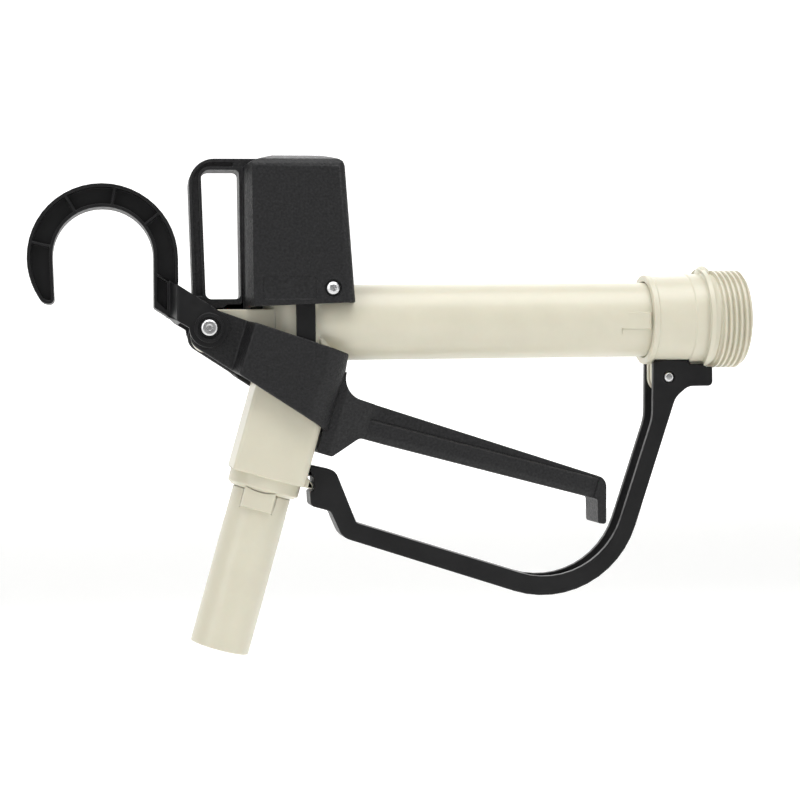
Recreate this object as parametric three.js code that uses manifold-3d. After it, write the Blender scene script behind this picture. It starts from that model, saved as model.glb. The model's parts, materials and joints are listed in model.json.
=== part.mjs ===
// A hand-operated dispensing nozzle for drum and chemical pumps, in millimetres, +Z up.
// The origin is the centre of the hose thread's end face. +X points out of the hose end, the handle side is -Z,
// and the nozzle is symmetric about the XZ plane.
import * as THREE from 'three';
import { mergeVertices } from 'three/addons/utils/BufferGeometryUtils.js';
import Module from 'manifold-3d';

const wasm = await Module();
wasm.setup();

// ---- Driving dimensions ----
const GAP = 0.3; // between neighbouring pieces
const FACETS = 24; // round a full turn
const ARC_STEP = Math.PI / 8; // largest turn between two points of a rounded corner

const TUBE = { radius: 15.86, bore: 12, end: -22 };
const SPINDLE = { x: -190, radius: 3 }; // the valve axis is vertical
const BOSS = { radius: 16, top: 22, bottom: -14, bore: 13 };
const OUTLET = { x: -187.1, tilt: THREE.MathUtils.degToRad(16.2), bore: 9.5 };
const HOUSING = { halfX: 15.4, halfY: 16.2, top: 9, bottom: 66.6 }; // top and bottom are along the outlet
const COLLAR = { radius: 15, straight: 71.6, end: 73, socket: 12.2 };
const SPOUT = { radius: 12.25, spigot: 11.9, bore: 10.2, top: 52, end: 139.8 };
const SEAT = { top: -14.6, bottom: -18.6, bore: 8, radius: 11.5 };
const THREAD = { radius: 20.95, pitch: 2.309, depth: 1.48, crests: 6, bore: 15 };
const COUPLING = { left: -42.8, collar: 18.7, ring: 19.5, flange: 21.5, socket: 16.2 };
const PIVOT = { x: -229.3, z: -2.3, pin: 2.6 };
const EAR = { lug: 10.4, inner: 11, outer: 14 }; // half-depths at the pivot
const FORK = { inner: 14.5, outer: 17.5 };
const YOKE = { inner: 20, outer: 23 };
const LEVER_TILT = THREE.MathUtils.degToRad(17.5);
const SQUEEZE = THREE.MathUtils.degToRad(12.4); // lever travel, with a little to spare
const STRAP = { inner: 16.8, outer: 19.4, half: 3.9, bottom: -18, pegZ: -14, peg: 2.2 };
const CROSSBAR = { bottom: 29.6, top: 33.2 };
const CAP = { left: -211.3, right: -169.6, half: 22, bulge: 3.5, roof: 64.5, wall: 2 };
const SCREW = { x: -179, z: 13.3, head: 2.6, recess: 3.5, shank: 1.3 };
const HOOK = { x: -42.15, z: 29.2, outer: 30.5, inner: 20.8, tip: 18.5, half: 6.5, rim: 1.4, floor: 2.5 }; // from the pivot
const GUARD = { half: 8, slot: 4.7 };
const GUARD_PIN = { x: -33.6, z: -24.8, radius: 2.1 };
const SPRING = { radius: 8.6, wire: 0.9, bottom: 36.2, top: 63.2, turns: 5.5 };

// ---- Solids ----
function solid(geometry) {
  const bare = geometry.clone();
  bare.deleteAttribute('normal');
  bare.deleteAttribute('uv');
  const merged = mergeVertices(bare, 1e-4);
  return new wasm.Manifold(new wasm.Mesh({
    numProp: 3,
    vertProperties: merged.attributes.position.array,
    triVerts: new Uint32Array(merged.index.array),
  }));
}

function geometryOf(manifold) {
  const mesh = manifold.getMesh();
  const geometry = new THREE.BufferGeometry();
  geometry.setAttribute('position', new THREE.BufferAttribute(mesh.vertProperties, 3));
  geometry.setIndex(new THREE.BufferAttribute(mesh.triVerts, 1));
  geometry.computeVertexNormals();
  return geometry;
}

function union(first, ...others) {
  return others.reduce((sum, next) => sum.add(next), first);
}

function cut(first, ...others) {
  return others.reduce((rest, next) => rest.subtract(next), first);
}

// Points of a closed outline; each corner is [x, y, radius] and the radius may be left out.
function outline(corners) {
  const count = corners.length;
  const points = [];
  corners.forEach(([x, y, radius = 0], i) => {
    const corner = new THREE.Vector2(x, y);
    if (radius === 0) {
      points.push(corner);
      return;
    }
    const before = new THREE.Vector2(...corners[(i + count - 1) % count]).sub(corner).normalize();
    const after = new THREE.Vector2(...corners[(i + 1) % count]).sub(corner).normalize();
    const half = Math.acos(before.dot(after)) / 2;
    const middle = before.clone().add(after).normalize();
    const centre = corner.clone().addScaledVector(middle, radius / Math.sin(half));
    const start = corner.clone().addScaledVector(before, radius / Math.tan(half)).sub(centre);
    const turn = (Math.PI - 2 * half) * Math.sign(after.cross(before));
    const steps = Math.max(1, Math.ceil(Math.abs(turn) / ARC_STEP));
    for (let step = 0; step <= steps; step++) {
      const arm = start.clone().rotateAround(new THREE.Vector2(), (turn * step) / steps);
      points.push(centre.clone().add(arm));
    }
  });
  return points.filter((point, i) => point.distanceTo(points[(i + 1) % points.length]) > 1e-3);
}

function prism(corners, from, to) {
  const shape = new THREE.Shape(outline(corners));
  const geometry = new THREE.ExtrudeGeometry(shape, { depth: to - from, bevelEnabled: false });
  return geometry.translate(0, 0, from);
}

// Prisms along each axis: the outline lies in XY, XZ or YZ.
function prismZ(corners, from, to) {
  return prism(corners, from, to);
}

function prismY(corners, from, to) {
  return prism(corners, -to, -from).rotateX(Math.PI / 2);
}

function prismX(corners, from, to) {
  const yzx = new THREE.Matrix4().set(0, 0, 1, 0, 1, 0, 0, 0, 0, 1, 0, 0, 0, 0, 0, 1);
  return prism(corners, from, to).applyMatrix4(yzx);
}

// A turned piece; the profile is [radius, height] going up the outside, and heights run along Z.
function turned(profile, facets = FACETS) {
  const points = profile.map(([radius, height]) => new THREE.Vector2(radius, height));
  return new THREE.LatheGeometry(points, facets).rotateX(Math.PI / 2);
}

function rod(radius, from, to, facets = FACETS) {
  return turned([[0, from], [radius, from], [radius, to], [0, to]], facets);
}

function ring(inner, outer, from, to, facets = FACETS) {
  return turned([[inner, from], [outer, from], [outer, to], [inner, to], [inner, from]], facets);
}

function alongX(geometry) {
  return geometry.rotateY(Math.PI / 2);
}

function alongY(geometry) {
  return geometry.rotateX(-Math.PI / 2);
}

// From the outlet's own frame, where the outlet runs down -Z, to the nozzle's frame.
function tilted(geometry) {
  return geometry.rotateY(OUTLET.tilt).translate(OUTLET.x, 0, 0);
}

function box(x0, x1, y0, y1, z0, z1) {
  const geometry = new THREE.BoxGeometry(x1 - x0, y1 - y0, z1 - z0);
  return geometry.translate((x0 + x1) / 2, (y0 + y1) / 2, (z0 + z1) / 2);
}

function torus(radius, wire) {
  return new THREE.TorusGeometry(radius, wire, 6, FACETS);
}

// ---- Materials ----
const COLORS = { cream: 0xe4ddc4, black: 0x17181a, rubber: 0x0c0c0c, steel: 0xb9bcbf, white: 0xf2f1ec };

function mesh(name, manifold, color, roughness = 0.45, metalness = 0) {
  const material = new THREE.MeshStandardMaterial({ color, roughness, metalness });
  const made = new THREE.Mesh(geometryOf(manifold), material);
  made.name = name;
  return made;
}

const cream = (name, manifold) => mesh(name, manifold, COLORS.cream, 0.4);
const black = (name, manifold) => mesh(name, manifold, COLORS.black, 0.55);
const rubber = (name, manifold) => mesh(name, manifold, COLORS.rubber, 0.8);
const steel = (name, manifold) => mesh(name, manifold, COLORS.steel, 0.3, 1);

// ---- Cream mouldings ----
function housing(grow = 0) {
  const x = HOUSING.halfX + grow;
  const y = HOUSING.halfY + grow;
  const corners = [[-x, -y, 1.6 + grow], [x, -y, 4 + grow], [x, y, 4 + grow], [-x, y, 1.6 + grow]];
  return tilted(prismZ(corners, -HOUSING.bottom, -HOUSING.top));
}

function makeValveBody() {
  const tube = alongX(rod(TUBE.radius, SPINDLE.x, TUBE.end));
  const boss = rod(BOSS.radius, BOSS.bottom, BOSS.top).translate(SPINDLE.x, 0, 0);
  const { bottom } = HOUSING;
  const lip = tilted(prismY([[14, -60.5], [19.2, -64.9], [19.2, -bottom], [14, -bottom]], -7, 7));
  const { radius, straight, end } = COLLAR;
  const collar = tilted(turned([[0, -end], [13, -end], [radius, -straight], [radius, -60], [0, -60]]));
  const lug = prismY([[-235.4, 5.4, 6], [-200, 5.4], [-200, -18], [-235.4, -10.8, 6]], -EAR.lug, EAR.lug);
  const keyPlan = [[-56, -15.4], [-43.4, -17], [-43.4, 17], [-56, 15.4]];
  const outside = union(
    solid(tube), solid(boss), solid(housing()), solid(lip),
    solid(collar), solid(lug), solid(prismZ(keyPlan, -4.5, 2.5)),
  );
  const chamber = rod(BOSS.bore, SEAT.top + GAP, BOSS.top + 1).translate(SPINDLE.x, 0, 0);
  const seatPocket = rod(SEAT.radius + GAP, SEAT.bottom - GAP, SEAT.top + 1).translate(SPINDLE.x, 0, 0);
  const throat = rod(SEAT.bore, -28, SEAT.bottom).translate(SPINDLE.x, 0, 0);
  const sealGroove = alongX(ring(13.9, 17, -31, -28.4));
  const pilots = [-1, 1].map((side) => {
    const hole = alongY(rod(SCREW.shank + GAP, 9.3, 20, 12)).translate(SCREW.x, 0, SCREW.z);
    return solid(side < 0 ? hole.rotateZ(Math.PI).translate(2 * SCREW.x, 0, 0) : hole);
  });
  return cut(
    outside, solid(alongX(rod(TUBE.bore, SPINDLE.x, TUBE.end + 1))), solid(chamber), solid(seatPocket),
    solid(throat), solid(tilted(rod(OUTLET.bore, -SPOUT.top, -20))),
    solid(tilted(rod(COLLAR.socket, -COLLAR.end - 1, -SPOUT.top + 1))), solid(sealGroove),
    solid(alongY(rod(PIVOT.pin + GAP, -12, 12, 16)).translate(PIVOT.x, 0, PIVOT.z)), ...pilots,
  );
}

// Drawn in the outlet's frame.
function makeSpout() {
  const profile = [
    [SPOUT.bore, -SPOUT.end], [SPOUT.radius, -SPOUT.end], [SPOUT.radius, -73.5], [SPOUT.spigot, -73.3],
    [SPOUT.spigot, -60.6], [10.9, -60.6], [10.9, -58], [SPOUT.spigot, -58], [SPOUT.spigot, -SPOUT.top],
    [SPOUT.bore, -SPOUT.top], [SPOUT.bore, -SPOUT.end],
  ];
  const pads = box(-6.6, 6.6, -13.6, 13.6, -80.4, -72);
  const core = rod(11, -90, -70);
  const clearOfCollar = turned([[0, -73.3], [13.2, -73.3], [15.3, -71.8], [15.3, -70], [0, -70]]);
  const turnedPads = cut(solid(pads.rotateZ(-THREE.MathUtils.degToRad(8))), solid(core), solid(clearOfCollar));
  return union(solid(turned(profile)), turnedPads);
}

function threadProfile() {
  const points = [];
  for (let crest = 0; crest < THREAD.crests; crest++) {
    const x = -14.1 + crest * THREAD.pitch;
    points.push([THREAD.radius - THREAD.depth, x + 0.3], [THREAD.radius, x + 0.95]);
    points.push([THREAD.radius, x + 1.35], [THREAD.radius - THREAD.depth, x + 2]);
  }
  return points;
}

function makeCoupling() {
  const { left, collar, ring: ringRadius, flange, socket } = COUPLING;
  const profile = [
    [socket, left], [18.2, left], [19.1, left + 0.9], [19.1, -40.6], [collar, -40], [collar + 0.3, -24.8],
    [ringRadius, -24.2], [ringRadius, -18.8], [flange, -17], [flange, -14.1], ...threadProfile(),
    [19.4, 0], [THREAD.bore, 0], [THREAD.bore, -19.5], [socket, -20.4], [socket, left],
  ];
  const lug = prismY([[-40, -17], [-27.5, -17], [-27.5, -31.5, 5.5], [-40, -31.5, 6.5]], -4.2, 4.2);
  const slot = box(-41, -26, -1.4, 1.4, -33, -19.2);
  const bump = prismX([[-6, 18], [6, 18], [4, 22.8, 2], [-4, 22.8, 2]], -19.4, -14);
  const core = alongX(rod(17.2, -60, -13));
  const pinHole = alongY(rod(GUARD_PIN.radius + GAP, -9, 9, 16)).translate(GUARD_PIN.x, 0, GUARD_PIN.z);
  const trim = cut(union(solid(lug), solid(bump)), solid(core));
  return cut(union(solid(alongX(turned(profile, 28))), trim), solid(slot), solid(pinHole));
}

// ---- Valve stack, drawn about the spindle axis ----
const hexagon = (acrossFlats, from, to, hole) => {
  const hex = new THREE.CylinderGeometry(acrossFlats / Math.sqrt(3), acrossFlats / Math.sqrt(3), to - from, 6);
  hex.rotateX(Math.PI / 2).translate(0, 0, (from + to) / 2);
  return cut(solid(hex), solid(rod(hole, from - 1, to + 1, 16)));
};

const HOLE = SPINDLE.radius + GAP;

function makeSpindle() {
  const { radius } = SPINDLE;
  return solid(turned([
    [0, -18.2], [radius, -18.2], [radius, -8.1], [4.6, -8.1], [4.6, -6.6], [radius, -6.6], [radius, 28.4],
    [4.2, 28.4], [4.2, CROSSBAR.bottom - GAP], [radius, CROSSBAR.bottom - GAP], [radius, 40.4], [0, 41],
  ], 16));
}

function makeBonnet() {
  const plug = BOSS.bore - GAP;
  return solid(turned([
    [HOLE, 14], [plug, 14], [plug, 16], [11.1, 16], [11.1, 18.4], [plug, 18.4], [plug, BOSS.top + GAP],
    [15.7, BOSS.top + GAP], [15.7, 25.2], [6, 25.2], [6, 17], [HOLE, 17], [HOLE, 14],
  ]));
}

function makeGlandNut() {
  return union(solid(ring(HOLE, 5.7, 20.6, 25.6, 16)), hexagon(14, 25.5, 28, HOLE));
}

function makeStirrup() {
  const bar = box(-STRAP.half, STRAP.half, -STRAP.outer, STRAP.outer, CROSSBAR.bottom, CROSSBAR.top);
  const pad = rod(8, CROSSBAR.bottom, CROSSBAR.top, 24);
  const strap = [[-STRAP.half, CROSSBAR.top], [-STRAP.half, STRAP.bottom, 3], [STRAP.half, STRAP.bottom, 3]];
  const outlineOfStrap = [...strap, [STRAP.half, CROSSBAR.top]];
  const peg = () => alongY(rod(STRAP.peg, STRAP.inner + 1, 21.2, 16)).translate(0, 0, STRAP.pegZ);
  return cut(
    union(
      solid(bar), solid(pad), solid(prismY(outlineOfStrap, STRAP.inner, STRAP.outer)),
      solid(prismY(outlineOfStrap, -STRAP.outer, -STRAP.inner)), solid(peg()), solid(peg().rotateZ(Math.PI)),
    ),
    solid(rod(HOLE, 20, 40, 16)),
  );
}

class CoilCurve extends THREE.Curve {
  getPoint(t, target = new THREE.Vector3()) {
    const angle = t * SPRING.turns * 2 * Math.PI;
    const height = THREE.MathUtils.lerp(SPRING.bottom, SPRING.top, t);
    return target.set(SPRING.radius * Math.cos(angle), SPRING.radius * Math.sin(angle), height);
  }
}

function makeSpring() {
  const sides = 6;
  const section = new THREE.Shape();
  for (let i = 0; i < sides; i++) {
    const angle = (i / sides) * 2 * Math.PI;
    const point = [SPRING.wire * Math.cos(angle), SPRING.wire * Math.sin(angle)];
    if (i === 0) section.moveTo(...point);
    else section.lineTo(...point);
  }
  const steps = Math.round(SPRING.turns * 14);
  return solid(new THREE.ExtrudeGeometry(section, { steps, bevelEnabled: false, extrudePath: new CoilCurve() }));
}

// ---- Cap with its hand loop ----
function capPlan(inset) {
  const left = CAP.left + inset;
  const right = CAP.right - inset;
  const half = CAP.half - inset;
  const tip = 2 * CAP.bulge;
  const bulge = 0.98 * Math.hypot(tip, half) * (half / tip);
  return [[left - tip, 0, bulge], [left, -half], [right, -half, 3.5], [right, half, 3.5], [left, half]];
}

function makeCap() {
  const crown = [[-169.5, 7.5], [-173.3, 66.9, 4], [-192, 70.3, 60], [-215.2, 66.6, 3], [-215.2, 6]];
  const side = [[-22, 0], [22, 0], [22, 66.3, 4], [0, 70, 90], [-22, 66.3, 4]];
  const shell = solid(prismZ(capPlan(0), 0, 70)).intersect(
    solid(prismY(crown, -30, 30)).intersect(solid(prismX(side, -240, -160))),
  );
  const loop = prismY([[-235, 5.9, 3], [-236.4, 67.5, 10.5], [-205, 67.5], [-205, 5.9]], -7, 7);
  const window = prismY([[-229.9, 9.8, 2.5], [-231.2, 62.9, 3.5], [-215.6, 62.9, 2], [-215.6, 9.8, 2]], -8, 8);
  const groove = (from, to) => cut(
    solid(prismY([[-233.8, 11], [-235.1, 66, 9], [-218, 66], [-218, 11]], from, to)),
    solid(prismY([[-231.3, 10], [-232.7, 64.2, 5], [-217, 64.2], [-217, 10]], from - 1, to + 1)),
  );
  const under = [[-215, 0], [-171, 0], [-175.2, 61], [-178.5, CAP.roof], [-208, CAP.roof], [-213.4, 62], [-215, 58]];
  const between = [[-20, 0], [20, 0], [20, 58], [13, CAP.roof], [-13, CAP.roof], [-20, 58]];
  const cavity = solid(prismZ(capPlan(CAP.wall), 0, 70)).intersect(
    solid(prismY(under, -30, 30)).intersect(solid(prismX(between, -240, -160))),
  );
  const pillars = alongY(rod(3.6, -21, 21, 16)).translate(SCREW.x, 0, SCREW.z);
  const bossRoom = rod(BOSS.radius + GAP, 0, 30).translate(SPINDLE.x, 0, 0);
  const tubeRoom = alongX(rod(TUBE.radius + GAP, -200, -160));
  const screwHole = alongY(rod(SCREW.shank + GAP, -30, 30, 12)).translate(SCREW.x, 0, SCREW.z);
  const recess = (from, to) => solid(alongY(rod(SCREW.recess, from, to, 20)).translate(SCREW.x, 0, SCREW.z));
  const middle = solid(box(-200, -160, -9, 9, 0, 40));
  const hollow = cut(shell, cavity);
  const pillar = cut(solid(pillars), middle);
  return cut(
    union(hollow, cut(solid(loop), cavity), pillar), solid(window), groove(-8, -5.6), groove(5.6, 8),
    solid(tubeRoom), solid(bossRoom), solid(screwHole), recess(-23, -20.9), recess(20.9, 23),
  );
}

function makeScrew(side) {
  const profile = [
    [0, 9.9], [SCREW.shank, 9.9], [SCREW.shank, 21.2], [SCREW.head, 21.2], [SCREW.head, 22], [1.4, 22.6], [0, 22.6],
  ];
  const cross = union(solid(box(-1.4, 1.4, -0.3, 0.3, 21.8, 24)), solid(box(-0.3, 0.3, -1.4, 1.4, 21.8, 24)));
  const upright = geometryOf(cut(solid(turned(profile, 20)), cross));
  return solid(alongY(upright).rotateZ(side < 0 ? Math.PI : 0));
}

// ---- Lever, drawn in its own frame: the pivot is the origin and +X runs along the lever ----
const LEVER_END = 6.4;
const YOKE_SIDE = [
  [-LEVER_END, 8.4, 6], [16.4, 7.4], [59.5, 6.4, 1.5], [59.5, -26.9, 1], [-LEVER_END, -8, 6],
];
const HANDLE_SIDE = [
  [56.7, 0], [59.5, 0], [59.5, -9.8, 9], [178.8, -11.7, 5], [184.3, -30.4, 1.2], [180.8, -31, 1.2],
  [177.6, -21.3, 1], [86, -24.9, 8], [73, -25.2, 4], [63.6, -36, 1.5], [57.4, -36, 1], [56.7, -25],
];

function yokeHalf(side) {
  const y = (value) => side * value;
  return [
    [-20, y(EAR.inner)], [-20, y(EAR.outer)], [14.1, y(EAR.outer)], [17, y(YOKE.outer), 0.8],
    [59.5, y(YOKE.outer), 13], [59.5, 0], [56.7, 0], [56.7, y(YOKE.inner), 10], [19.4, y(YOKE.inner)],
    [16.6, y(EAR.inner)],
  ];
}

// Places a geometry of the nozzle's frame in the lever's frame, with the lever squeezed by an angle.
function inLever(geometry, squeeze) {
  return geometry.translate(-PIVOT.x, 0, -PIVOT.z).rotateY(squeeze - LEVER_TILT);
}

function sweptTube() {
  const steps = 5;
  const tubes = [];
  for (let i = 0; i <= steps; i++) {
    const tube = alongX(rod(TUBE.radius + 0.5, -200, -60, 40));
    tubes.push(solid(inLever(tube, (SQUEEZE * i) / steps)));
  }
  return union(...tubes);
}

// The room for one strap peg as the lever turns: a blind slot in each yoke plate.
function pegSlots() {
  const slots = [];
  [-1, 1].forEach((side) => {
    const steps = 4;
    for (let i = 0; i <= steps; i++) {
      const angle = (SQUEEZE * i) / steps;
      const peg = alongY(rod(STRAP.peg + 0.7, 18, 21.9, 20));
      const lift = 40 * angle;
      const placed = peg.rotateZ(side < 0 ? Math.PI : 0).translate(SPINDLE.x, 0, STRAP.pegZ + lift);
      slots.push(solid(inLever(placed, angle)));
    }
  });
  return union(...slots);
}

function makeLever() {
  const plan = union(
    solid(prismZ(yokeHalf(1), -60, 20)),
    solid(prismZ([...yokeHalf(-1)].reverse(), -60, 20)),
  );
  const yoke = solid(prismY(YOKE_SIDE, -30, 30)).intersect(plan);
  const handlePlan = [[50, -14], [62, -14], [76, -9, 12], [175, -9, 4], [177, -10], [190, -10, 2]];
  const mirrored = [...handlePlan].reverse().map(([x, y, r = 0]) => [x, -y, r]);
  const fromAbove = solid(prismZ([...handlePlan, ...mirrored], -60, 20));
  const handle = solid(prismY(HANDLE_SIDE, -20, 20)).intersect(fromAbove);
  const pinHole = alongY(rod(PIVOT.pin + GAP, -30, 30, 16));
  return cut(union(yoke, handle), sweptTube(), pegSlots(), solid(pinHole));
}

// ---- Hook, drawn from the pivot ----
function hookBand(inset) {
  const { x, z, outer, inner, tip } = HOOK;
  const big = outer - inset;
  const small = inner + inset;
  const turn = THREE.MathUtils.degToRad(32); // from the leftmost point down to the tip
  const drop = big * Math.tan(turn / 2);
  const run = (tip - inset - drop) / Math.cos(turn);
  return [
    [x + big, z + big, big], [x - big, z + big, big], [x - big, z - drop, big],
    [x - big + run * Math.sin(turn), z - tip + inset, 4.2 - inset],
    [x - 19.7 - 0.9 * inset, z - tip + inset, 2 - inset],
    [x - small, z + small, 0.97 * small], [x + small, z + small, 0.97 * small],
    [-21.7 + 0.9 * inset, 8.8 + 1.7 * inset, 1.2], [-13.2 - 1.3 * inset, 3.2 + 2.2 * inset], [x + big, 20],
  ];
}

const FORK_SIDE = [[-16.5, 20.2], [4.34, 6.72], [-4.1, -2.3], [-16.5, 5.2]];

function makeHook() {
  const { x, z, half, floor, rim } = HOOK;
  const trimLine = [[-90, 70], [0, 70], [0, 10.4], [-12.5, 17.4], [-12.5, 0], [-30, 0], [-90, 0]];
  const arm = solid(prismY(hookBand(0), -half, half)).intersect(solid(prismY(trimLine, -half, half)));
  const ribs = [38.5, 79.5, 120, 167].map((angle) => {
    const rib = box(HOOK.inner - 1, HOOK.outer + 1, -half, half, -0.5, 0.5);
    return solid(rib.rotateY(-THREE.MathUtils.degToRad(angle)).translate(x, 0, z));
  });
  const across = solid(prismY([[-26, 26.5], [-10, 16.2], [-10, 15], [-26, 25.3]], -half, half));
  const channel = cut(solid(prismY(hookBand(rim), floor, half + 1)), ...ribs, across);
  const channels = union(channel, cut(solid(prismY(hookBand(rim), -half - 1, -floor)), ...ribs, across));
  const outerPlan = [[-17, -half], [-15.2, -half], [-12.8, -FORK.outer], [20, -FORK.outer]];
  const forkPlan = [...outerPlan, ...[...outerPlan].reverse().map(([px, py]) => [px, -py])];
  const room = box(-11.4, 30, -FORK.inner, FORK.inner, -30, 40);
  const forkSide = union(solid(prismY(FORK_SIDE, -20, 20)), solid(alongY(rod(8, -20, 20))));
  const fork = cut(solid(prismZ(forkPlan, -20, 30)).intersect(forkSide), solid(room));
  const bosses = [[-18.6, -17.2], [17.2, 18.6]].map(([from, to]) => solid(alongY(ring(4.6, 6, from, to, 24))));
  const pinHole = alongY(rod(PIVOT.pin + GAP, -30, 30, 16));
  return cut(union(cut(arm, channels), fork, ...bosses), solid(pinHole));
}

// ---- Guard ----
const GUARD_SIDE = [
  [-191, -58.4, 0.8], [-191.8, -62.4, 0.6], [-186.6, -64.2], [-186.6, -69.8], [-188.2, -70], [-187.9, -76.2, 2],
  [-179.6, -78.6, 3], [-174.9, -89.6, 7], [-62.7, -127.4, 42], [-30.7, -33.4, 9], [-25, -28.8, 6],
  [-14.3, -28.8, 2], [-14.3, -19.2], [-24.4, -19.2], [-25.3, -17.1, 1], [-40.4, -17.1, 2], [-40.9, -42, 20],
  [-66.7, -117.2, 35], [-168.9, -83.6, 2], [-177.4, -61.6, 5],
];

function makeGuard() {
  const bow = solid(prismY(GUARD_SIDE, -GUARD.half, GUARD.half));
  const slot = solid(box(-97, 0, -GUARD.slot, GUARD.slot, -112.5, 0));
  const clearOfCoupling = turned([
    [0, -50], [COUPLING.collar + 0.4, -50], [COUPLING.collar + 0.4, -24.9], [COUPLING.ring + 0.4, -24.9],
    [COUPLING.ring + 0.4, -19], [COUPLING.flange + 0.4, -17.4], [COUPLING.flange + 0.4, 5], [0, 5],
  ], 40);
  const lipRoom = tilted(prismY([[14, -59.8], [19.7, -64.6], [19.7, -67.1], [14, -67.1]], -30, 30));
  const pinHole = alongY(rod(GUARD_PIN.radius + GAP, -20, 20, 16)).translate(GUARD_PIN.x, 0, GUARD_PIN.z);
  return cut(bow, slot, solid(alongX(clearOfCoupling)), solid(housing(0.4)), solid(lipRoom), solid(pinHole));
}

function domedPin(radius, half) {
  const points = [[0, -half], [radius * 0.7, -half + 0.1], [radius, -half + 0.7]];
  return solid(alongY(turned([...points, ...[...points].reverse().map(([r, h]) => [r, -h])], 20)));
}

function makePivotPin() {
  const profile = [
    [0, -19.2], [2.6, -19.2], [3.3, -18.8], [3.3, -17.8], [PIVOT.pin, -17.8], [PIVOT.pin, 19.6], [0, 19.6],
  ];
  return solid(alongY(turned(profile, 20)));
}

// ---- Assembly ----
const outletGroup = new THREE.Group();
outletGroup.position.x = OUTLET.x;
outletGroup.rotation.y = OUTLET.tilt;
const spoutORing = rubber('spout_o_ring', solid(torus(11.65, 0.42)));
spoutORing.position.z = -59.3;
outletGroup.add(cream('outlet_spout', makeSpout()), spoutORing);

const hoseGroup = new THREE.Group();
const couplingORing = rubber('coupling_o_ring', solid(torus(15.05, 0.8)));
couplingORing.position.x = -29.7;
couplingORing.rotation.y = Math.PI / 2;
hoseGroup.add(cream('hose_coupling', makeCoupling()), couplingORing);

const bonnetORing = rubber('bonnet_o_ring', solid(torus(12.05, 0.6)));
bonnetORing.position.z = 17.2;
const valveGroup = new THREE.Group();
valveGroup.position.x = SPINDLE.x;
valveGroup.add(
  mesh('seat_ring', solid(ring(SEAT.bore, SEAT.radius, SEAT.bottom, SEAT.top)), COLORS.white, 0.5),
  steel('disc_nut', hexagon(8, -17.8, SEAT.top, HOLE)),
  rubber('disc_seal', solid(ring(HOLE, 10.3, -14.3, -12.7))),
  cream('valve_disc', solid(ring(HOLE, 10.6, -12.4, -8.4))),
  steel('spindle', makeSpindle()),
  cream('bonnet', makeBonnet()),
  bonnetORing,
  rubber('spindle_seal', solid(ring(HOLE, 5.7, 17.3, 20.3, 20))),
  cream('gland_nut', makeGlandNut()),
  black('stirrup', makeStirrup()),
  steel('spring_plate', solid(ring(HOLE, 11, CROSSBAR.top + GAP, 35))),
  steel('spindle_nut', hexagon(10, 35.3, 39.3, HOLE)),
  steel('valve_spring', makeSpring()),
);

const screwFront = steel('cap_screw_front', makeScrew(-1));
const screwRear = steel('cap_screw_rear', makeScrew(1));
[screwFront, screwRear].forEach((screw) => screw.position.set(SCREW.x, 0, SCREW.z));
const capGroup = new THREE.Group();
capGroup.add(black('cap', makeCap()), screwFront, screwRear);

const lever = black('lever', makeLever());
lever.rotation.y = LEVER_TILT;
const pivotGroup = new THREE.Group();
pivotGroup.position.set(PIVOT.x, 0, PIVOT.z);
pivotGroup.add(
  lever,
  black('hook', makeHook()),
  steel('pivot_pin', makePivotPin()),
  steel('pivot_clip', solid(alongY(ring(PIVOT.pin + GAP, 4.3, 17.8, 18.6, 20)))),
);

const guardPin = steel('guard_pin', domedPin(GUARD_PIN.radius, GUARD.half + 0.5));
guardPin.position.set(GUARD_PIN.x, 0, GUARD_PIN.z);

const nozzle = new THREE.Group();
nozzle.add(
  cream('valve_body', makeValveBody()), outletGroup, hoseGroup, valveGroup, capGroup, pivotGroup,
  black('trigger_guard', makeGuard()), guardPin,
);

export default nozzle;
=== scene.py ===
"""The looks of a hand-operated dispensing nozzle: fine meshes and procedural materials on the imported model.

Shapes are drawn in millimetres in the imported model's own frame and scaled to metres when a piece is finished.
"""
import json
import math

import bmesh
import bpy
from mathutils import Matrix, Vector


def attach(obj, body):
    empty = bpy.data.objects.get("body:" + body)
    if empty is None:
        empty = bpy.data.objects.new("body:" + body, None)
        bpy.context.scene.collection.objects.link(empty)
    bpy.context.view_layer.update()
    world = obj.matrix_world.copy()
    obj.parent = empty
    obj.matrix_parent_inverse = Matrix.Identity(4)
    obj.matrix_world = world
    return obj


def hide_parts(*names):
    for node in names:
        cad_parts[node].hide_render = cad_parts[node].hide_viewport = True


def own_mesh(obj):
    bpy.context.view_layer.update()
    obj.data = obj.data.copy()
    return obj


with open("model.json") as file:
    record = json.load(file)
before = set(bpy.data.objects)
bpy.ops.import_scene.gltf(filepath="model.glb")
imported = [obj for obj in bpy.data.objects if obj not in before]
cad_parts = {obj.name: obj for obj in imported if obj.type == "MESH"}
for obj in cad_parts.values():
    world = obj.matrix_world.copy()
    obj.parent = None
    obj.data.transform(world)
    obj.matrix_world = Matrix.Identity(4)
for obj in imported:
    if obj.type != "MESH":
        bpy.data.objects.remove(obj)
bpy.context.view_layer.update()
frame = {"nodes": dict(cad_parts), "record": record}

# ---- Dimensions shared by several pieces, in millimetres ----
ARC_STEP = math.radians(7.5)  # largest turn between two points of a rounded corner
FACETS = 96  # round a full turn
PIVOT = Vector((-229.3, 0, -2.3))
SPINDLE_X = -190
OUTLET_X = -187.1
OUTLET_TILT = math.radians(16.2)
LEVER_TILT = math.radians(17.5)
GUARD_PIN = Vector((-33.6, 0, -24.8))
CAP_SCREW = Vector((-179, 0, 13.3))
THREAD_PITCH = 2.309
THREAD_ROOT = 19.47
THREAD_DEPTH = 1.48
FULL_SQUEEZE = math.radians(12.4)  # a little past the lever's limit
LIFT_PER_RADIAN = 40
PIN_HOLE = 2.9
CAP_LEFT, CAP_RIGHT, CAP_HALF = -211.3, -169.13, 22
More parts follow.
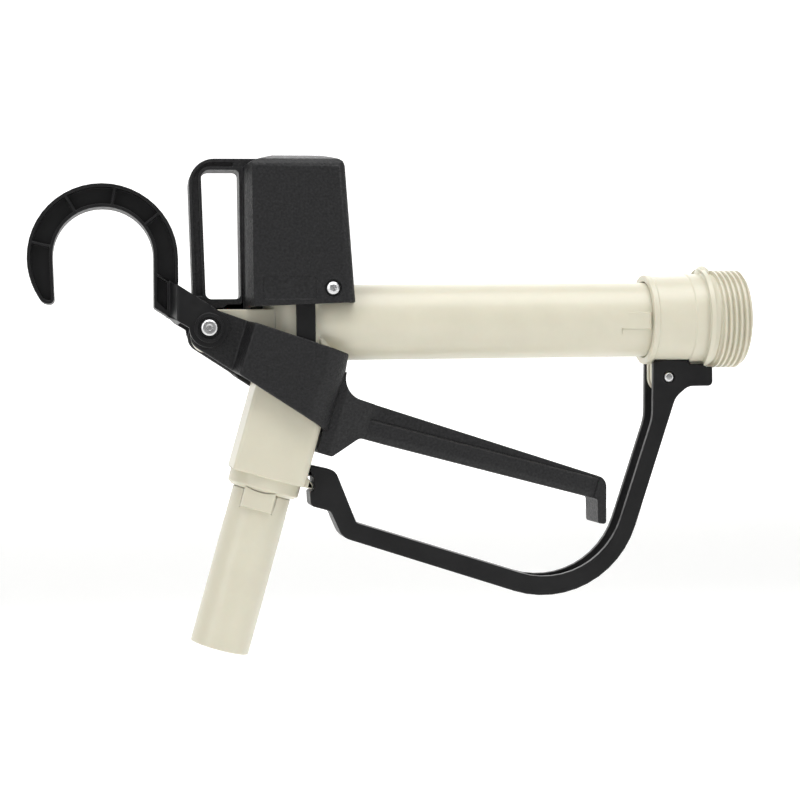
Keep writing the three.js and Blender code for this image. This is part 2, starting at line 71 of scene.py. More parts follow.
CAP_NARROWING = 0.8966  # length of the cap's top as a share of its foot


# ---- Shapes ----
def add_object(bm):
    bmesh.ops.recalc_face_normals(bm, faces=bm.faces)
    mesh = bpy.data.meshes.new("shape")
    bm.to_mesh(mesh)
    bm.free()
    obj = bpy.data.objects.new("shape", mesh)
    bpy.context.scene.collection.objects.link(obj)
    return obj


def outline(corners):
    """Points of a closed outline; each corner is (x, y, radius) and the radius may be left out."""
    points = []
    for i, corner in enumerate(corners):
        here = Vector(corner[:2])
        radius = corner[2] if len(corner) > 2 else 0
        if radius == 0:
            points.append(here)
            continue
        before = (Vector(corners[i - 1][:2]) - here).normalized()
        after = (Vector(corners[(i + 1) % len(corners)][:2]) - here).normalized()
        half = math.acos(max(-1, min(1, before.dot(after)))) / 2
        middle = (before + after).normalized()
        centre = here + middle * (radius / math.sin(half))
        arm = here + before * (radius / math.tan(half)) - centre
        side = after.x * before.y - after.y * before.x
        turn = math.copysign(math.pi - 2 * half, side)
        steps = max(2, math.ceil(abs(turn) / ARC_STEP))
        for n in range(steps + 1):
            angle = turn * n / steps
            cos, sin = math.cos(angle), math.sin(angle)
            points.append(centre + Vector((arm.x * cos - arm.y * sin, arm.x * sin + arm.y * cos)))
    return [p for i, p in enumerate(points) if (p - points[(i + 1) % len(points)]).length > 1e-3]


def rounded(corners):
    """An outline as plain (radius, height) pairs, for turning."""
    return [tuple(p) for p in outline(corners)]


def prism(corners, low, high, axis):
    """An outline drawn in XY, XZ or YZ and extruded along the third axis."""
    place = {
        "Z": lambda p, h: (p.x, p.y, h),
        "Y": lambda p, h: (p.x, h, p.y),
        "X": lambda p, h: (h, p.x, p.y),
    }[axis]
    bm = bmesh.new()
    points = outline(corners)
    bottom = [bm.verts.new(place(p, low)) for p in points]
    top = [bm.verts.new(place(p, high)) for p in points]
    bm.faces.new(bottom)
    bm.faces.new(reversed(top))
    for i in range(len(points)):
        j = (i + 1) % len(points)
        bm.faces.new((bottom[i], bottom[j], top[j], top[i]))
    return add_object(bm)


def with_rings(profile, step=4):
    """Splits the long straight runs of a turned profile, so that shading stays even along them."""
    points = []
    for (radius, height), (next_radius, next_height) in zip(profile, [*profile[1:], profile[0]]):
        pieces = max(1, math.ceil(abs(next_height - height) / step)) if min(radius, next_radius) > 0 else 1
        for n in range(pieces):
            share = n / pieces
            points.append((radius + (next_radius - radius) * share, height + (next_height - height) * share))
    return points


def turned(profile, facets=FACETS, wave=None):
    """A piece turned about Z from a closed (radius, height) profile; wave(radius, height, turn) may bend it."""
    bm = bmesh.new()
    rings = []
    for radius, height in with_rings(profile):
        if radius < 1e-6:
            rings.append([bm.verts.new((0, 0, height))] * facets)
            continue
        ring = []
        for n in range(facets):
            angle = 2 * math.pi * n / facets
            r = wave(radius, height, n / facets) if wave else radius
            ring.append(bm.verts.new((r * math.cos(angle), r * math.sin(angle), height)))
        rings.append(ring)
    for i, ring in enumerate(rings):
        following = rings[(i + 1) % len(rings)]
        for n in range(facets):
            m = (n + 1) % facets
            corners = list(dict.fromkeys((ring[n], ring[m], following[m], following[n])))
            if len(corners) > 2:
                bm.faces.new(corners)
    return add_object(bm)


def rod(radius, low, high, rounding=0, facets=FACETS):
    corners = [(0, low), (radius, low, rounding), (radius, high, rounding), (0, high)]
    return turned(rounded(corners), facets)


def tube(inner, outer, low, high, rounding=0, facets=FACETS):
    corners = [(inner, low, rounding), (outer, low, rounding), (outer, high, rounding), (inner, high, rounding)]
    return turned(rounded(corners), facets)


def torus(radius, wire):
    profile, sides = [], 20
    for n in range(sides):
        angle = 2 * math.pi * n / sides
        profile.append((radius + wire * math.cos(angle), wire * math.sin(angle)))
    return turned(profile)


def box(x0, x1, y0, y1, z0, z1):
    return prism([(x0, y0), (x1, y0), (x1, y1), (x0, y1)], z0, z1, "Z")


# ---- Placing and joining ----
def moved(obj, *matrices):
    for matrix in matrices:
        obj.data.transform(matrix)
    return obj


def shifted(obj, x=0, y=0, z=0):
    return moved(obj, Matrix.Translation((x, y, z)))


def along_x(obj):
    return moved(obj, Matrix.Rotation(math.pi / 2, 4, "Y"))


def along_y(obj, side=1):
    """Turns a shape drawn about Z so that it points along +Y, or along -Y if side is -1."""
    return moved(obj, Matrix.Rotation(-side * math.pi / 2, 4, "X"))


def tilted(obj):
    """From the outlet's own frame, where the outlet runs down -Z, to the nozzle's frame."""
    return moved(obj, Matrix.Translation((OUTLET_X, 0, 0)) @ Matrix.Rotation(OUTLET_TILT, 4, "Y"))


def bake(obj):
    graph = bpy.context.evaluated_depsgraph_get()
    mesh = bpy.data.meshes.new_from_object(obj.evaluated_get(graph), depsgraph=graph)
    obj.modifiers.clear()
    obj.data = mesh
    return obj


def combine(base, operation, others):
    for other in others:
        modifier = base.modifiers.new("combine", "BOOLEAN")
        modifier.object = other
        modifier.operation = operation
        modifier.solver = "MANIFOLD"
    bake(base)
    for other in others:
        bpy.data.objects.remove(other)
    return base


def union(base, *others):
    return combine(base, "UNION", others)


def cut(base, *others):
    return combine(base, "DIFFERENCE", others)


def common(base, *others):
    return combine(base, "INTERSECT", others)


def tidy_mesh(obj, merge=0.01):
    """Joins doubled points and splits faces into triangles, which a bevel handles cleanly."""
    bm = bmesh.new()
    bm.from_mesh(obj.data)
    bmesh.ops.remove_doubles(bm, verts=bm.verts, dist=merge)
    bmesh.ops.triangulate(bm, faces=bm.faces)
    bm.to_mesh(obj.data)
    bm.free()


def add_rounding(obj, width, segments, sharp):
    """A bevel on every edge sharper than this many degrees."""
    rounding = obj.modifiers.new("rounding", "BEVEL")
    rounding.width = width
    rounding.segments = segments
    rounding.limit_method = "ANGLE"
    rounding.angle_limit = math.radians(sharp)
    rounding.use_clamp_overlap = False
    rounding.loop_slide = False
    return rounding


def soften(obj, width):
    """Rounds a part's edges before it is joined to others."""
    tidy_mesh(obj)
    add_rounding(obj, width, 3, 40)
    return bake(obj)


def finished(obj, name, body, material, nodes, bevel, segments=3, merge=0.01):
    """Rounds the edges, shades the piece smoothly, scales it to metres and hangs it on its body."""
    tidy_mesh(obj, merge)
    obj.data.shade_smooth()
    if bevel:
        add_rounding(obj, bevel, segments, 30).harden_normals = True
    else:
        obj.data.set_sharp_from_angle(angle=math.radians(38))
        obj.modifiers.new("normals", "WEIGHTED_NORMAL").keep_sharp = True
    bake(obj)
    moved(obj, Matrix.Scale(0.001, 4))
    obj.name = name
    obj.data.name = name
    obj.data.materials.clear()
    obj.data.materials.append(material)
    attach(obj, body)
    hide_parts(*nodes)
    return obj


# ---- Materials ----
NOISE_SPAN = (0.3, 0.7)  # most of the noise lies between these


def noise(tree, scale, detail, roughness):
    coordinates = tree.nodes.new("ShaderNodeTexCoord")
    texture = tree.nodes.new("ShaderNodeTexNoise")
    texture.inputs["Scale"].default_value = scale
    texture.inputs["Detail"].default_value = detail
    texture.inputs["Roughness"].default_value = roughness
    tree.links.new(coordinates.outputs["Object"], texture.inputs["Vector"])
    return texture.outputs["Fac"]


def ramp(tree, source, colors):
    node = tree.nodes.new("ShaderNodeValToRGB")
    for element, position, color in zip(node.color_ramp.elements, NOISE_SPAN, colors):
        element.position = position
        element.color = (*color, 1)
    tree.links.new(source, node.inputs["Fac"])
    return node.outputs["Color"]


def ranged(tree, source, low, high):
    node = tree.nodes.new("ShaderNodeMapRange")
    node.inputs["From Min"].default_value = NOISE_SPAN[0]
    node.inputs["From Max"].default_value = NOISE_SPAN[1]
    node.inputs["To Min"].default_value = low
    node.inputs["To Max"].default_value = high
    tree.links.new(source, node.inputs["Value"])
    return node.outputs["Result"]


def bump(tree, source, depth, before):
    node = tree.nodes.new("ShaderNodeBump")
    node.inputs["Strength"].default_value = 1
    node.inputs["Distance"].default_value = depth
    tree.links.new(source, node.inputs["Height"])
    if before is not None:
        tree.links.new(before, node.inputs["Normal"])
    return node.outputs["Normal"]


def material(name, colors, roughness, bumps, color_scale=60, rough_scale=300, **shader_values):
    """A mottled colour, uneven gloss and one or more layers of bumps, each (scale, depth in metres)."""
    made = bpy.data.materials.new(name)
    made.use_nodes = True
    tree = made.node_tree
    shader = tree.nodes["Principled BSDF"]
    mottle = noise(tree, color_scale, 4, 0.6)
    tree.links.new(ramp(tree, mottle, colors), shader.inputs["Base Color"])
    gloss = noise(tree, rough_scale, 4, 0.6)
    tree.links.new(ranged(tree, gloss, *roughness), shader.inputs["Roughness"])
    normal = None
    for scale, depth in bumps:
        normal = bump(tree, noise(tree, scale, 2, 0.5), depth, normal)
    tree.links.new(normal, shader.inputs["Normal"])
    for socket, value in shader_values.items():
        shader.inputs[socket.replace("_", " ")].default_value = value
    return made


CREAM = material(
    "cream_plastic", [(0.60, 0.57, 0.455), (0.635, 0.605, 0.485)], (0.3, 0.33),
    [(60, 0.00004)], rough_scale=110, Subsurface_Weight=0.08, Subsurface_Scale=0.002,
)
GRAINED = material(
    "grained_black_plastic", [(0.003, 0.003, 0.0035), (0.017, 0.017, 0.018)], (0.36, 0.56),
    [(1000, 0.0003), (2400, 0.0001)], color_scale=1000, rough_scale=900, Specular_IOR_Level=0.32,
)
SATIN = material(
    "satin_black_plastic", [(0.006, 0.006, 0.0065), (0.011, 0.011, 0.0115)], (0.32, 0.48),
    [(120, 0.00012), (2200, 0.00002)], rough_scale=500, Specular_IOR_Level=0.24,
)
RUBBER = material(
    "seal_rubber", [(0.008, 0.008, 0.008), (0.016, 0.016, 0.015)], (0.55, 0.75), [(700, 0.00003)],
)
STEEL = material(
    "stainless_steel", [(0.55, 0.55, 0.56), (0.66, 0.66, 0.66)], (0.16, 0.34), [(700, 0.00001)], Metallic=1,
)
PTFE = material(
    "white_ptfe", [(0.80, 0.80, 0.77), (0.86, 0.86, 0.84)], (0.45, 0.6), [(600, 0.00002)],
)
SLOT_MATERIALS = {
    "cream_plastic": CREAM,
    "black_plastic": SATIN,
    "seal_rubber": RUBBER,
    "stainless_steel": STEEL,
    "white_ptfe": PTFE,
}


# ---- Cream mouldings ----
def housing():
    plan = [(-15.4, -16.2, 1.6), (15.4, -16.2, 4), (15.4, 16.2, 4), (-15.4, 16.2, 1.6)]
    return tilted(prism(plan, -66.6, -9, "Z"))


def make_valve_body():
    lip = tilted(prism([(14, -60.5), (19.2, -64.9, 0.4), (19.2, -66.6, 0.4), (14, -66.6)], -7, 7, "Y"))
    collar = tilted(turned([(0, -73), (13, -73), (15, -71.6), (15, -60), (0, -60)]))
    lug = prism([(-235.4, 5.4, 6), (-200, 5.4), (-200, -18), (-235.4, -10.8, 6)], -10.4, 10.4, "Y")
    key = prism([(-56, -15.4), (-43.4, -17, 0.8), (-43.4, 17, 0.8), (-56, 15.4)], -4.5, 2.5, "Z")
    outside = union(
        along_x(rod(15.86, SPINDLE_X, -22)), shifted(rod(16, -14, 22), SPINDLE_X), housing(), lip, collar, lug, key,
    )
    pilots = [
        shifted(along_y(rod(1.6, 9.3, 20, 0, 24), side), CAP_SCREW.x, 0, CAP_SCREW.z) for side in (-1, 1)
    ]
    body = cut(
        outside, along_x(rod(12, SPINDLE_X, -21)), shifted(rod(13, -14.3, 23), SPINDLE_X),
        shifted(rod(11.8, -18.9, -13.6), SPINDLE_X), shifted(rod(8, -28, -18.6), SPINDLE_X),
        tilted(rod(9.5, -52, -20)), tilted(rod(12.2, -75, -51)), along_x(tube(13.9, 17, -31, -28.4)),
        shifted(along_y(rod(PIN_HOLE, -12, 12)), *PIVOT), *pilots,
    )
    return finished(body, "body_moulding", "root", CREAM, ["valve_body"], bevel=0.45)


def make_spout():
    profile = rounded([
        (10.2, -139.8, 0.4), (12.25, -139.8, 0.6), (12.25, -73.5, 0.2), (11.9, -73.3), (11.9, -60.6), (10.9, -60.6),
        (10.9, -58), (11.9, -58), (11.9, -52), (10.2, -52),
    ])
    pads = prism([(-6.6, -13.6, 0.5), (6.6, -13.6, 0.5), (6.6, 13.6, 0.5), (-6.6, 13.6, 0.5)], -80.4, -72, "Z")
    moved(pads, Matrix.Rotation(-math.radians(8), 4, "Z"))
    clear_of_collar = turned([(0, -73.3), (13.2, -73.3), (15.3, -71.8), (15.3, -70), (0, -70)])
    pads = cut(pads, rod(11, -90, -70), clear_of_collar)
    spout = tilted(union(turned(profile), pads))
    return finished(spout, "spout_moulding", "root", CREAM, ["outlet_spout"], bevel=0.4)


def thread_height(height, turn):
    """How far the thread stands out at this height and share of a turn, from 0 to 1."""
    phase = (height / THREAD_PITCH - turn) % 1
    crest = max(0.0, min(1.0, 0.5 + 0.8 * math.cos(2 * math.pi * phase)))
    fade_in = max(0.0, min(1.0, (height + 14) / 0.7))
    fade_out = max(0.0, min(1.0, (-0.5 - height) / 0.9))
    smooth = crest * crest * (3 - 2 * crest)
    return smooth * fade_in * fade_out


def thread_radius(radius, height, turn):
    if radius != THREAD_ROOT:
        return radius
    return radius + THREAD_DEPTH * thread_height(height, turn)


def flange_dome():
    """The rounded bump on the coupling's flange, drawn along X."""
    dome = turned([(0, -3.9), (4.4, -3.9), (4.2, -1.2), (3.5, 0.6), (2, 1.9), (0, 2.4)])
    moved(dome, Matrix.Diagonal((0.7, 1.5, 1, 1)))
    return shifted(dome, -16.2, 0, 20.6)


def make_coupling():
    outside = rounded([
        (16.2, -42.8, 0.3), (19.1, -42.8, 0.5), (19.1, -40.6, 0.3), (18.7, -40, 0.3), (19, -24.8, 0.3),
        (19.5, -24.2, 0.3), (19.5, -18.6, 0.5), (21.5, -17, 0.7), (21.5, -14.15, 0.4),
    ])
    rows = [(THREAD_ROOT, -14.1 + 0.1 * n) for n in range(140)]
    profile = outside + rows + [(19.2, 0), (15.2, 0), (15, -0.2), (15, -19.5), (16.2, -20.4)]
    lug = soften(prism([(-40, -17), (-27.5, -17), (-27.5, -31.5, 5.5), (-40, -31.5, 6.5)], -4.2, 4.2, "Y"), 0.5)
    trim = cut(union(lug, flange_dome()), along_x(rod(17.2, -60, -13)))
    pin_hole = shifted(along_y(rod(2.4, -9, 9)), *GUARD_PIN)
    coupling = union(along_x(turned(profile, 192, thread_radius)), trim)
    coupling = cut(coupling, box(-41, -26, -1.4, 1.4, -33, -19.2), pin_hole)
    return finished(
        coupling, "hose_coupling_moulding", "root", CREAM, ["hose_coupling"], bevel=0,
    )


# ---- Cap with its hand loop ----
def cap_plan(inset):
    left, right, half = CAP_LEFT + inset, CAP_RIGHT - inset, CAP_HALF - inset
    tip = 7
    bulge = 0.98 * math.hypot(tip, half) * half / tip
    return [(left - tip, 0, bulge), (left, -half), (right, -half, 3.5), (right, half, 3.5), (left, half)]


def tapered(obj, origin, share):
    """Narrows the top of a prism along X, about the given X."""
    for vertex in obj.data.vertices:
        if vertex.co.z > 35:
            vertex.co.x = origin + (vertex.co.x - origin) * share
    return obj


def cap_block(inset, front, side):
    walls = tapered(prism(cap_plan(inset), 0, 70, "Z"), CAP_LEFT, CAP_NARROWING)
    return common(walls, prism(front, -30, 30, "Y"), prism(side, -240, -160, "X"))


def loop_groove(low, high):
    outer = prism([(-233.8, 11), (-235.1, 66, 9), (-218, 66), (-218, 11)], low, high, "Y")
    inner = prism([(-231.3, 10), (-232.7, 64.2, 5), (-217, 64.2), (-217, 10)], low - 1, high + 1, "Y")
    return cut(outer, inner)


def cap_cavity():
    under = [(-215, 0), (-171, 0), (-175.2, 61), (-178.5, 64.5, 2), (-208, 64.5, 2), (-213.4, 62), (-215, 58)]
    between = [(-20, 0), (20, 0), (20, 58), (13, 64.5), (-13, 64.5), (-20, 58)]
    return cap_block(2, under, between)


def make_cap():
    crown = [
        (-169.55, 7.5), (-173.4, 65.2, 4.5), (-185, 69.9, 25), (-199, 69.9, 25), (-215.2, 63.6, 3), (-215.2, 6),
    ]
    side = [(-22, 0), (22, 0), (22, 65.6, 4), (0, 71.5, 60), (-22, 65.6, 4)]
    loop = prism([(-235, 5.9, 3), (-236.4, 67.5, 10.5), (-205, 67.5), (-205, 5.9)], -7, 7, "Y")
    pillars = shifted(along_y(rod(3.6, -21, 21)), *CAP_SCREW)
    pillars = cut(pillars, box(-200, -160, -9, 9, 0, 40))
    cap = union(cut(cap_block(0, crown, side), cap_cavity()), cut(loop, cap_cavity()), pillars)
    window = prism([(-229.9, 9.8, 2.5), (-231.2, 62.9, 3.5), (-215.6, 62.9, 2), (-215.6, 9.8, 2)], -8, 8, "Y")
    panel_plan = [(-207.4, 8.9, 1.6), (-185.9, 8.9, 1.6), (-185.9, 18.6, 1.6), (-207.4, 18.6, 1.6)]
    panel = prism(panel_plan, -22.5, -21.6, "Y")
    recesses = [shifted(along_y(rod(3.5, 20.9, 23), side), *CAP_SCREW) for side in (-1, 1)]
    cap = cut(
        cap, window, loop_groove(-8, -5.6), loop_groove(5.6, 8), along_x(rod(16.16, -200, -160)),
        shifted(rod(16.3, 0, 30), SPINDLE_X), shifted(along_y(rod(1.6, -30, 30)), *CAP_SCREW), *recesses, panel,
    )
    return finished(cap, "cap_moulding", "root", GRAINED, ["cap"], bevel=0.3, merge=0.08)


def make_screw(side, name, node):
    head = [(0, 9.9), (1.3, 9.9), (1.3, 21.2), (2.6, 21.2, 0.1), (2.6, 21.9, 0.3), (1.4, 22.55, 1), (0, 22.6)]
    cross = union(box(-1.4, 1.4, -0.32, 0.32, 21.6, 24), box(-0.32, 0.32, -1.4, 1.4, 21.6, 24))
    moved(cross, Matrix.Rotation(math.radians(20), 4, "Z"))
    screw = cut(turned(rounded(head), 64), cross)
    shifted(along_y(screw, side), *CAP_SCREW)
    return finished(screw, name, "root", STEEL, [node], bevel=0.08, segments=2)


# ---- Strap ----
def make_strap():
    plan = [(-3.9, 33.2), (-3.9, -18, 3), (3.9, -18, 3), (3.9, 33.2)]
    strap = union(
        box(-3.9, 3.9, -19.4, 19.4, 29.6, 33.2), rod(8, 29.6, 33.2), prism(plan, 16.8, 19.4, "Y"),
        prism(plan, -19.4, -16.8, "Y"), shifted(along_y(rod(2.2, 17.8, 21.2)), 0, 0, -14),
        shifted(along_y(rod(2.2, 17.8, 21.2), -1), 0, 0, -14),
    )
    strap = shifted(cut(strap, rod(3.3, 20, 40)), SPINDLE_X)
    return finished(strap, "strap_moulding", "plunger", SATIN, ["stirrup"], bevel=0.35)


# ---- Lever, drawn from its pivot with +X along the lever ----
def in_lever(obj, squeeze):
    return moved(
        obj, Matrix.Translation(-PIVOT), Matrix.Rotation(squeeze - LEVER_TILT, 4, "Y"),
    )


def yoke_half(side):
    plan = [
        (-20, 11), (-20, 14), (14.1, 14, 1), (17, 23, 1.2), (59.5, 23, 13), (59.5, 0), (56.7, 0), (56.7, 20, 10),
        (19.4, 20), (16.6, 11),
    ]
    return prism([(x, side * y, *r) for x, y, *r in plan], -60, 20, "Z")


HANDLE_VIEW = [
    (56.7, 0), (59.5, 0), (59.5, -9.8, 9), (178.8, -11.7, 5), (184.3, -30.4, 1.2), (180.8, -31, 1.2),
    (177.6, -21.3, 1), (86, -24.9, 8), (73, -25.2, 4), (63.6, -36, 1.5), (57.4, -36, 1), (56.7, -25),
]


def handle_part(half):
    half_plan = [(50, -14), (62, -14, 1), (76, -half, 12), (175, -half, 4), (177, -10, 2), (190, -10, 2)]
    mirrored = [(x, -y, *r) for x, y, *r in reversed(half_plan)]
    return common(prism(HANDLE_VIEW, -20, 20, "Y"), prism(half_plan + mirrored, -60, 20, "Z"))


def make_handle():
    """A narrow upper band, a wider rounded body under its shoulder, and the full heel and tip."""
    section = [(-9, -25.3, 3.6), (9, -25.3, 3.6), (9, -16.2, 1.2), (-9, -16.2, 1.2)]
    body = prism(section, 60, 190, "X")
    rise, level_at = 0.0393, 86
    slope = Matrix.Identity(4)
    slope[2][0] = rise
    moved(body, Matrix.Translation((0, 0, -level_at * rise)) @ slope)
    heel = prism([(-14.5, -36.1, 3.6), (14.5, -36.1, 3.6), (14.5, 5), (-14.5, 5)], 50, 75, "X")
    tip = box(176.2, 190, -11, 11, -40, 0)
    lower = common(handle_part(9), union(body, heel, tip))
    return union(lower, soften(handle_part(7.2), 0.6))


def make_lever():
    end = 6.4  # from the pivot to the yoke's left end
    side_view = [(-end, 8.4, 6), (16.4, 7.4), (59.5, 6.4, 2.5), (59.5, -26.9, 1.5), (-end, -8, 6)]
    yoke = common(union(yoke_half(1), yoke_half(-1)), prism(side_view, -30, 30, "Y"))
    lever = union(soften(yoke, 0.7), make_handle())
    rooms = [in_lever(along_x(rod(16.36, -200, -60)), FULL_SQUEEZE * n / 5) for n in range(6)]
    pegs = []
    for n in range(5):
        angle = FULL_SQUEEZE * n / 4
        for side in (-1, 1):
            peg = shifted(along_y(rod(2.9, 18, 21.9, 0, 32), side), SPINDLE_X, 0, -14 + LIFT_PER_RADIAN * angle)
            pegs.append(in_lever(peg, angle))
    lever = cut(lever, *rooms, *pegs, along_y(rod(PIN_HOLE, -30, 30)))
    moved(lever, Matrix.Translation(PIVOT) @ Matrix.Rotation(LEVER_TILT, 4, "Y"))
    return finished(lever, "lever_moulding", "lever", GRAINED, ["lever"], bevel=0)


# ---- Hook, drawn from the pivot ----
HOOK_X, HOOK_Z = -42.15, 29.2
HOOK_TURN = math.radians(32)  # from the hook's leftmost point down to its tip


def hook_band(inset):
    x, z = HOOK_X, HOOK_Z
    big, small = 30.5 - inset, 20.8 + inset
    drop = big * math.tan(HOOK_TURN / 2)
    run = (18.5 - inset - drop) / math.cos(HOOK_TURN)
    return [
        (x + big, z + big, big), (x - big, z + big, big), (x - big, z - drop, big * 0.995),
        (x - big + run * math.sin(HOOK_TURN), z - 18.5 + inset, 4.2 - inset),
        (x - 19.7 - 0.9 * inset, z - 18.5 + inset, 2 - inset),
        (x - small, z + small, 0.97 * small), (x + small, z + small, 0.97 * small),
        (-21.7 + 0.9 * inset, 8.8 + 1.7 * inset, 1.2), (-13.2 - 1.3 * inset, 3.2 + 2.2 * inset), (x + big, 20),
    ]


def hook_web():
    """What stays of the hook's channel: four ribs and the wall across its arm."""
    parts = []
    for angle in (38.5, 79.5, 120, 167):
        rib = box(19.8, 31.5, -6.5, 6.5, -0.5, 0.5)
        turn = Matrix.Rotation(-math.radians(angle), 4, "Y")
        parts.append(moved(rib, Matrix.Translation((HOOK_X, 0, HOOK_Z)) @ turn))
    parts.append(prism([(-26, 26.5), (-10, 16.2), (-10, 15), (-26, 25.3)], -6.5, 6.5, "Y"))
    return parts


def make_hook():
    trim = [(-90, 70), (0, 70), (0, 10.4), (-12.5, 17.4), (-12.5, 0), (-30, 0), (-90, 0)]
    arm = common(prism(hook_band(0), -6.5, 6.5, "Y"), prism(trim, -7, 7, "Y"))
    channels = [cut(prism(hook_band(1.4), low, high, "Y"), *hook_web()) for low, high in ((2.5, 8), (-8, -2.5))]
    arm = cut(arm, *channels)
    plan = [(-17, -6.5), (-15.2, -6.5), (-12.8, -17.5, 1), (20, -17.5)]
    fork = prism(plan + [(x, -y, *r) for x, y, *r in reversed(plan)], -20, 30, "Z")
    fork_view = prism([(-16.5, 20.2), (4.34, 6.72), (-4.1, -2.3), (-16.5, 5.2)], -20, 20, "Y")
    fork = common(fork, union(fork_view, along_y(rod(8, -20, 20))))
    fork = cut(fork, box(-11.4, 30, -14.5, 14.5, -30, 40))
    bosses = [along_y(tube(4.6, 6, 17.2, 18.6), side) for side in (-1, 1)]
    hook = cut(union(arm, fork, *bosses), along_y(rod(PIN_HOLE, -30, 30)))
    shifted(hook, *PIVOT)
    return finished(hook, "hook_moulding", "hook", SATIN, ["hook"], bevel=0.3)


# ---- Guard ----
def make_guard():
    side_view = [
        (-191, -58.4, 1), (-191.8, -62.4, 0.9), (-186.6, -64.2), (-186.6, -69.8), (-188.2, -70), (-187.9, -76.2, 2),
        (-179.6, -78.6, 3), (-174.9, -89.6, 7), (-62.7, -127.4, 42), (-30.7, -33.4, 9), (-25, -28.8, 6),
        (-14.3, -28.8, 2), (-14.3, -19.2), (-24.4, -19.2), (-25.3, -17.1, 1), (-40.4, -17.1, 2), (-40.9, -42, 20),
        (-66.7, -117.2, 35), (-168.9, -83.6, 2), (-177.4, -61.6, 5),
    ]
    bow = prism(side_view, -8, 8, "Y")
    slot = prism([(-97, -4.7, 4.6), (0, -4.7), (0, 4.7), (-97, 4.7, 4.6)], -112.5, 0, "Z")
    clear_of_coupling = along_x(turned([
        (0, -50), (19.1, -50), (19.1, -24.9), (19.9, -24.9), (19.9, -19), (21.9, -17.4), (21.9, 5), (0, 5),
    ]))
    grown = [(-15.8, -16.6, 2), (15.8, -16.6, 4.4), (15.8, 16.6, 4.4), (-15.8, 16.6, 2)]
    clear_of_housing = tilted(prism(grown, -66.6, -9, "Z"))
    lip_room = tilted(prism([(14, -59.8), (19.7, -64.6), (19.7, -67.1), (14, -67.1)], -30, 30, "Y"))
    pin_hole = shifted(along_y(rod(2.4, -20, 20)), *GUARD_PIN)
    guard = cut(bow, slot, clear_of_coupling, clear_of_housing, lip_room, pin_hole)
    return finished(guard, "guard_moulding", "root", SATIN, ["trigger_guard"], bevel=0.6)


# ---- Pins and rings ----
def make_pivot_pin():
    profile = rounded([
        (0, -19.1), (1, -19.1, 0.3), (1.5, -19.2, 0.3), (2.6, -19.2, 0.3), (3.3, -18.8, 0.3), (3.3, -17.8, 0.2),
        (2.6, -17.8), (2.6, 19.6, 0.4), (0, 19.6),
    ])
    pin = cut(turned(profile, 64), shifted(rod(1.1, -1, 0.5), 0, 0, -19))
    pin = shifted(along_y(pin), *PIVOT)
    return finished(pin, "pivot_pin_turned", "root", STEEL, ["pivot_pin"], bevel=0.1, segments=2)


def make_pivot_clip():
    clip = shifted(along_y(tube(2.9, 4.3, 17.8, 18.6, 0.15, 64)), *PIVOT)
    return finished(clip, "pivot_clip_stamped", "root", STEEL, ["pivot_clip"], bevel=0)


def make_guard_pin():
    profile = rounded([(0, -8.5), (1.5, -8.4, 0.8), (2.1, -7.8, 0.4), (2.1, 7.8, 0.4), (1.5, 8.4, 0.8), (0, 8.5)])
    pin = shifted(along_y(turned(profile, 64)), *GUARD_PIN)
    return finished(pin, "guard_pin_turned", "root", STEEL, ["guard_pin"], bevel=0)


def make_o_rings():
    spout_ring = tilted(shifted(torus(11.65, 0.42), 0, 0, -59.3))
    finished(spout_ring, "spout_ring", "root", RUBBER, ["spout_o_ring"], bevel=0)
    coupling_ring = shifted(along_x(torus(15.05, 0.8)), -29.7)
    finished(coupling_ring, "coupling_ring", "root", RUBBER, ["coupling_o_ring"], bevel=0)


# ---- Valve spring ----
SPRING = {"radius": 8.6, "wire": 0.9, "bottom": 36.2, "top": 63.2, "turns": 5.5, "lift": 8.4}


def spring_ring(bm, share, sides=14):
    """One ring of the spring's wire, at a share of its length from the bottom."""
    angle = share * SPRING["turns"] * 2 * math.pi
    out = Vector((math.cos(angle), math.sin(angle), 0))
    rise = (SPRING["top"] - SPRING["bottom"]) / (SPRING["turns"] * 2 * math.pi)
    along = Vector((-SPRING["radius"] * out.y, SPRING["radius"] * out.x, rise)).normalized()
    up = along.cross(out)
    height = SPRING["bottom"] + share * (SPRING["top"] - SPRING["bottom"])
    centre = Vector((SPINDLE_X, 0, height)) + out * SPRING["radius"]
    ring = []
    for n in range(sides):
        turn = 2 * math.pi * n / sides
        ring.append(bm.verts.new(centre + SPRING["wire"] * (out * math.cos(turn) + up * math.sin(turn))))
    return ring


def make_spring():
    bm = bmesh.new()
    steps = 300
    rings = [spring_ring(bm, n / steps) for n in range(steps + 1)]
    for ring, following in zip(rings, rings[1:]):
        for n in range(len(ring)):
            m = (n + 1) % len(ring)
            bm.faces.new((ring[n], ring[m], following[m], following[n]))
    bm.faces.new(rings[0])
    bm.faces.new(rings[-1])
    spring = finished(add_object(bm), "spring_coil", "root", STEEL, ["valve_spring"], bevel=0)
    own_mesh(spring)


# ---- Assembly ----
make_valve_body()
make_spout()
make_coupling()
make_cap()
make_screw(-1, "front_screw", "cap_screw_front")
make_screw(1, "rear_screw", "cap_screw_rear")
make_strap()
make_lever()
make_hook()
make_guard()
make_pivot_pin()
make_pivot_clip()
make_guard_pin()
make_o_rings()
make_spring()

for subpart in frame["record"]["subparts"]:
    node = frame["nodes"][subpart["node"]]
    node.data.materials.clear()
    node.data.materials.append(SLOT_MATERIALS[subpart["material_slot"]])

# ---- Camera, light and floor ----
TARGET = Vector((-0.1487, 0, -0.0329))
CAMERA_DISTANCE = 0.8
FORWARD = Vector((0.15722, 0.98752, -0.00944)).normalized()
UP = Vector((0.01531, 0.00712, 0.99986))
RIGHT = FORWARD.cross(UP).normalized()
UP = RIGHT.cross(FORWARD)

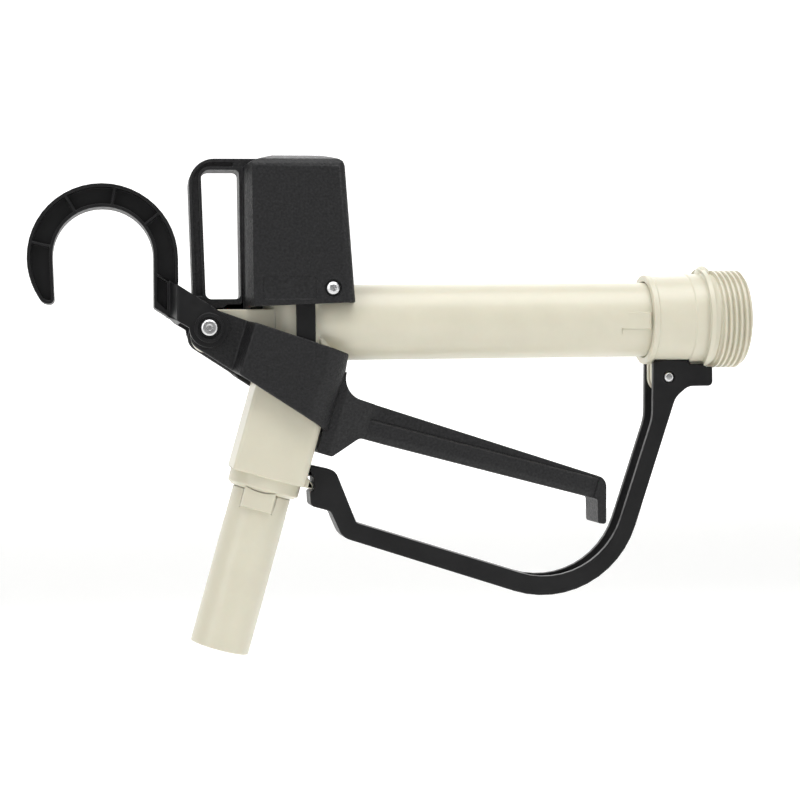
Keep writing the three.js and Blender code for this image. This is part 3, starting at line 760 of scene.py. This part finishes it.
camera_data = bpy.data.cameras.new("camera")
camera_data.lens = 85.5
camera_data.sensor_width = 36
camera = bpy.data.objects.new("camera", camera_data)
turn = Matrix((RIGHT, UP, -FORWARD)).transposed().to_4x4()
camera.matrix_world = Matrix.Translation(TARGET - CAMERA_DISTANCE * FORWARD) @ turn
bpy.context.scene.collection.objects.link(camera)
bpy.context.scene.camera = camera


def area_light(name, place, size, power, target=TARGET):
    data = bpy.data.lights.new(name, "AREA")
    data.shape = "RECTANGLE"
    data.size, data.size_y = size
    data.energy = power
    light = bpy.data.objects.new(name, data)
    light.location = place
    light.rotation_mode = "QUATERNION"
    light.rotation_quaternion = (Vector(target) - Vector(place)).to_track_quat("-Z", "Y")
    bpy.context.scene.collection.objects.link(light)


area_light("top_light", (-0.15, -0.35, 1.0), (1.4, 0.8), 13)
area_light("left_light", (-1.1, -0.75, 0.35), (0.6, 1.0), 3.5)
area_light("right_light", (0.75, -0.75, 0.3), (0.15, 1.0), 2.2)
area_light("rear_light", (-0.1, 1.1, 0.6), (1.4, 0.9), 3)

world = bpy.data.worlds.new("world")
world.use_nodes = True
world.node_tree.nodes["Background"].inputs["Color"].default_value = (1, 1, 1, 1)
world.node_tree.nodes["Background"].inputs["Strength"].default_value = 0.24
bpy.context.scene.world = world


def make_stage(name, matrix, glow):
    """A large pale plane with a faint light of its own."""
    bm = bmesh.new()
    bmesh.ops.create_grid(bm, x_segments=8, y_segments=8, size=8, matrix=matrix)
    mesh = bpy.data.meshes.new(name)
    bm.to_mesh(mesh)
    bm.free()
    stage = bpy.data.objects.new(name, mesh)
    bpy.context.scene.collection.objects.link(stage)
    mesh.materials.append(material(
        name + "_paint", [(0.88, 0.88, 0.87), (0.9, 0.9, 0.89)], (0.8, 0.9), [(30, 0.00005)],
        Emission_Color=(1, 1, 1, 1), Emission_Strength=glow,
    ))


make_stage("floor", Matrix.Translation((0, -5, -0.29)), 0.3)
make_stage("backdrop", Matrix.Translation((0, 3, 0)) @ Matrix.Rotation(math.pi / 2, 4, "X"), 0.75)
bpy.context.scene.view_settings.view_transform = "Standard"
